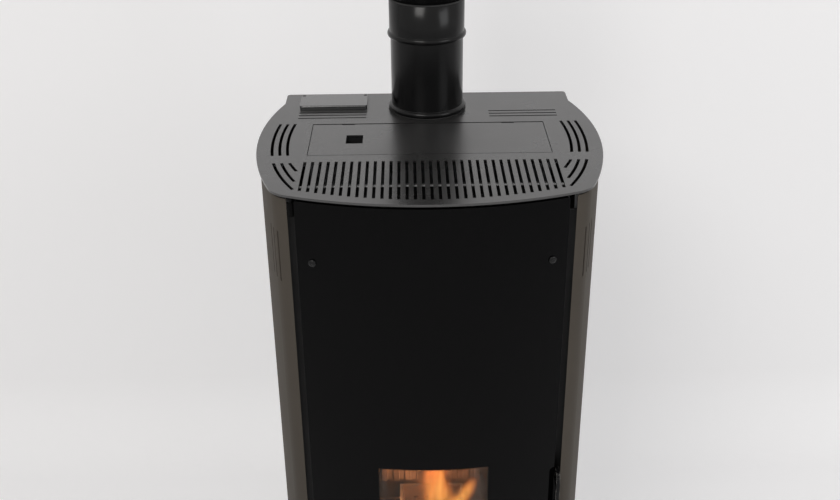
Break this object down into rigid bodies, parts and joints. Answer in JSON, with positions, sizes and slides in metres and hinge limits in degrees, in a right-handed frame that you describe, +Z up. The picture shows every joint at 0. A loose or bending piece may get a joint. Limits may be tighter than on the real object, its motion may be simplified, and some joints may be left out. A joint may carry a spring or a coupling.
{
  "type": "pellet stove",
  "caption": "Pellet stove with a curved black glass door, slotted top plate, pellet hopper under a hinged lid, auger feed, burn pot, fans, ash drawer and rear flue outlet.",
  "frame": {"origin": "on the floor, under the middle of the bounding box", "axes": "+Z up, +Y towards the wall behind the stove, +X to the right as one faces the glass door"},
  "size_m": [0.457, 0.418, 1.3537],
  "materials": {
    "plate_paint": "satin anthracite paint",
    "panel_paint": "satin warm dark grey paint",
    "stove_black": "matt heat-proof black paint",
    "flue_enamel": "satin black enamel",
    "black_glass": "glossy, black behind, with a clear window over the fire",
    "ceramic_pane": "clear heat-proof glass",
    "galvanised_sheet": "galvanised",
    "zinc_steel": "zinc plated",
    "screw_steel": "bare stainless steel",
    "screw_black": "blackened steel",
    "handle_metal": "satin",
    "pot_iron": "as cast, heat stained",
    "fan_casting": "as cast",
    "motor_enamel": "black enamel",
    "liner_board": "pressed vermiculite",
    "rope_seal": "woven glass fibre rope",
    "seal_rubber": "matt silicone",
    "black_plastic": "fine texture",
    "flap_gloss": "smooth, slightly rounded front",
    "switch_plastic": "smooth",
    "foot_plastic": "moulded with a steel stud",
    "board_case": "moulded"
  },
  "bodies": {
    "stove_body": {"air_intake_tube": "zinc_steel", "auger_gearmotor": "motor_enamel", "auger_housing": "zinc_steel", "base_plate": "stove_black", "burn_pot_cradle": "stove_black", "chassis_posts": "zinc_steel", "control_board": "board_case", "control_panel": "black_plastic", "door_hinge_brackets": "stove_black", "door_hinge_pins": "zinc_steel", "drawer_runners": "zinc_steel", "firebox": "stove_black", "firebox_liner": "liner_board", "flue_collar": "flue_enamel", "flue_pipe_lower": "flue_enamel", "flue_pipe_upper": "flue_enamel", "flue_riser": "stove_black", "flue_seals": "seal_rubber", "front_bulkhead": "stove_black", "front_plinth": "stove_black", "heat_exchanger": "stove_black", "heat_shield": "galvanised_sheet", "hopper": "galvanised_sheet", "hopper_funnel": "galvanised_sheet", "igniter": "screw_steel", "latch_striker": "zinc_steel", "levelling_feet": "foot_plastic", "lid_hinge_bases": "zinc_steel", "lid_hinge_pins": "zinc_steel", "lid_seal": "seal_rubber", "pellet_chute": "zinc_steel", "power_inlet": "black_plastic", "rear_panel": "stove_black", "room_fan_housing": "galvanised_sheet", "room_fan_motor": "motor_enamel", "side_panel_left": "panel_paint", "side_panel_right": "panel_paint", "smoke_box": "stove_black", "smoke_fan_housing": "fan_casting", "smoke_fan_motor": "motor_enamel", "top_frame": "stove_black", "top_plate": "plate_paint"},
    "lid": {"hopper_lid": "plate_paint", "lid_finger_cup": "black_plastic", "lid_hinge_straps": "zinc_steel"},
    "door": {"door_frame": "stove_black", "front_glass": "black_glass", "glass_screws": "screw_black", "fire_glass": "ceramic_pane", "door_seal": "rope_seal"},
    "handle_lever": {"door_handle": "handle_metal"},
    "drawer": {"ash_drawer": "stove_black", "ash_drawer_front": "panel_paint"},
    "pot": {"burn_pot": "pot_iron"},
    "baffle": {"baffle_plate": "liner_board"},
    "feed_screw": {"auger_screw": "screw_steel"},
    "smoke_impeller": {"smoke_fan_impeller": "screw_steel"},
    "air_rotor": {"room_fan_rotor": "fan_casting"},
    "flap": {"control_flap": "flap_gloss"},
    "rocker": {"power_switch": "switch_plastic"}
  },
  "joints": [
    {"name": "lid_hinge", "type": "hinge", "parent": "stove_body", "child": "lid", "pos_m": [0, 0.05455, 0.948], "axis": [-1, 0, 0], "range_deg": [0, 90]},
    {"name": "door_hinge", "type": "hinge", "parent": "stove_body", "child": "door", "pos_m": [-0.1715, -0.1718, 0.6], "axis": [0, 0, -1], "range_deg": [0, 105]},
    {"name": "handle_turn", "type": "hinge", "parent": "door", "child": "handle_lever", "pos_m": [0.17, -0.1635, 0.512], "axis": [-1, 0, 0], "range_deg": [0, 30]},
    {"name": "drawer_slide", "type": "slide", "parent": "stove_body", "child": "drawer", "axis": [0, -1, 0], "range_m": [0, 0.12]},
    {"name": "pot_lift", "type": "slide", "parent": "stove_body", "child": "pot", "axis": [0, 0, 1], "range_m": [0, 0.05]},
    {"name": "baffle_lift", "type": "slide", "parent": "stove_body", "child": "baffle", "axis": [0, 0, 1], "range_m": [0, 0.03]},
    {"name": "auger_turn", "type": "hinge", "parent": "stove_body", "child": "feed_screw", "pos_m": [0.126, 0.045, 0.48], "axis": [-0.8192, 0, 0.5736], "continuous": true},
    {"name": "smoke_fan_spin", "type": "hinge", "parent": "stove_body", "child": "smoke_impeller", "pos_m": [0, 0.08, 0.225], "axis": [1, 0, 0], "continuous": true},
    {"name": "room_fan_spin", "type": "hinge", "parent": "stove_body", "child": "air_rotor", "pos_m": [-0.06, 0.09, 0.086], "axis": [1, 0, 0], "continuous": true},
    {"name": "flap_hinge", "type": "hinge", "parent": "stove_body", "child": "flap", "pos_m": [-0.13425, 0.159, 0.9533], "axis": [-1, 0, 0], "range_deg": [0, 100]},
    {"name": "switch_rock", "type": "hinge", "parent": "stove_body", "child": "rocker", "pos_m": [-0.15, 0.172, 0.112], "axis": [1, 0, 0], "range_deg": [-8, 8]}
  ]
}
